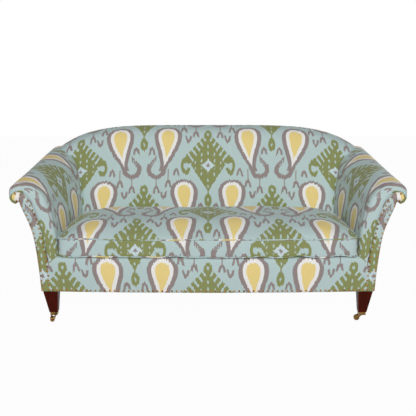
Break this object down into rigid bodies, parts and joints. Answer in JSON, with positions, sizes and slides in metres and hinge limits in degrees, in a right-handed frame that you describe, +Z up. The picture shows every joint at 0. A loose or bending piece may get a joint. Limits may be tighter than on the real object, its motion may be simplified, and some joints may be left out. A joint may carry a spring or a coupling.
{
  "type": "english roll arm sofa",
  "caption": "English roll arm sofa with a rolled back, one long boxed seat cushion, a bowed front, nail-trimmed arms and tapered legs on brass castors.",
  "frame": {"origin": "on the floor, under the middle of the sofa's outer box", "axes": "+X to the viewer's right along the seat, -Y to the front, +Z up"},
  "size_m": [1.8458, 0.8472, 0.8606],
  "materials": {
    "printed_linen": "matt woven linen, printed with a large ikat pattern",
    "platform_cloth": "plain cotton platform cloth",
    "cushion_filling": "feather-wrapped foam filling in ticking",
    "hessian": "coarse hessian",
    "jute_webbing": "woven jute webbing",
    "black_lining": "black bottoming cloth",
    "mahogany": "dark polished mahogany",
    "beech_frame": "planed beech, unfinished",
    "antique_brass": "aged brass",
    "spring_steel": "coppered spring steel"
  },
  "bodies": {
    "sofa": {"arm_rear_ends": "printed_linen", "back_left_leg": "mahogany", "back_pad": "printed_linen", "back_right_leg": "mahogany", "back_roll_ends": "printed_linen", "back_seat_rail": "beech_frame", "back_springs": "spring_steel", "back_top_rail": "beech_frame", "back_tuck_rail": "beech_frame", "back_uprights": "beech_frame", "back_webbing": "jute_webbing", "base_nails": "antique_brass", "castor_cups": "antique_brass", "castor_screws": "antique_brass", "corner_blocks": "beech_frame", "dust_cover": "black_lining", "front_border": "printed_linen", "front_left_leg": "mahogany", "front_right_leg": "mahogany", "front_seat_rail": "beech_frame", "left_arm_facing": "printed_linen", "left_arm_front_post": "beech_frame", "left_arm_pad": "printed_linen", "left_arm_top_rail": "beech_frame", "left_arm_tuck_rail": "beech_frame", "left_back_post": "beech_frame", "left_facing_nails": "antique_brass", "left_outside_arm": "printed_linen", "left_seat_rail": "beech_frame", "outside_back": "printed_linen", "right_arm_facing": "printed_linen", "right_arm_front_post": "beech_frame", "right_arm_pad": "printed_linen", "right_arm_top_rail": "beech_frame", "right_arm_tuck_rail": "beech_frame", "right_back_post": "beech_frame", "right_facing_nails": "antique_brass", "right_outside_arm": "printed_linen", "right_seat_rail": "beech_frame", "seat_canvas": "hessian", "seat_deck": "platform_cloth", "seat_springs": "spring_steel", "seat_webbing": "jute_webbing"},
    "seat_cushion": {"seat_cushion_cover": "printed_linen", "seat_cushion_core": "cushion_filling", "seat_cushion_piping": "printed_linen"},
    "front_left_castor_swivel": {"front_left_castor_horn": "antique_brass", "front_left_castor_axle": "antique_brass"},
    "front_left_castor_roller": {"front_left_castor_wheel": "antique_brass"},
    "front_right_castor_swivel": {"front_right_castor_horn": "antique_brass", "front_right_castor_axle": "antique_brass"},
    "front_right_castor_roller": {"front_right_castor_wheel": "antique_brass"},
    "back_left_castor_swivel": {"back_left_castor_horn": "antique_brass", "back_left_castor_axle": "antique_brass"},
    "back_left_castor_roller": {"back_left_castor_wheel": "antique_brass"},
    "back_right_castor_swivel": {"back_right_castor_horn": "antique_brass", "back_right_castor_axle": "antique_brass"},
    "back_right_castor_roller": {"back_right_castor_wheel": "antique_brass"}
  },
  "joints": [
    {"name": "seat_cushion_lift", "type": "slide", "parent": "sofa", "child": "seat_cushion", "axis": [0, 0, 1], "range_m": [0, 0.35]},
    {"name": "front_left_castor_turn", "type": "hinge", "parent": "sofa", "child": "front_left_castor_swivel", "pos_m": [-0.744, -0.3454, 0.0315], "axis": [0, 0, 1], "continuous": true},
    {"name": "front_left_wheel_roll", "type": "hinge", "parent": "front_left_castor_swivel", "child": "front_left_castor_roller", "pos_m": [-0.75021, -0.36858, 0.014], "axis": [0.9659, -0.2588, 0], "continuous": true},
    {"name": "front_right_castor_turn", "type": "hinge", "parent": "sofa", "child": "front_right_castor_swivel", "pos_m": [0.744, -0.3454, 0.0315], "axis": [0, 0, 1], "continuous": true},
    {"name": "front_right_wheel_roll", "type": "hinge", "parent": "front_right_castor_swivel", "child": "front_right_castor_roller", "pos_m": [0.72, -0.3454, 0.014], "axis": [0, -1, 0], "continuous": true},
    {"name": "back_left_castor_turn", "type": "hinge", "parent": "sofa", "child": "back_left_castor_swivel", "pos_m": [-0.686, 0.3316, 0.0315], "axis": [0, 0, 1], "continuous": true},
    {"name": "back_left_wheel_roll", "type": "hinge", "parent": "back_left_castor_swivel", "child": "back_left_castor_roller", "pos_m": [-0.70678, 0.3436, 0.014], "axis": [-0.5, -0.866, 0], "continuous": true},
    {"name": "back_right_castor_turn", "type": "hinge", "parent": "sofa", "child": "back_right_castor_swivel", "pos_m": [0.686, 0.3316, 0.0315], "axis": [0, 0, 1], "continuous": true},
    {"name": "back_right_wheel_roll", "type": "hinge", "parent": "back_right_castor_swivel", "child": "back_right_castor_roller", "pos_m": [0.70566, 0.34537, 0.014], "axis": [-0.5736, 0.8192, 0], "continuous": true}
  ]
}
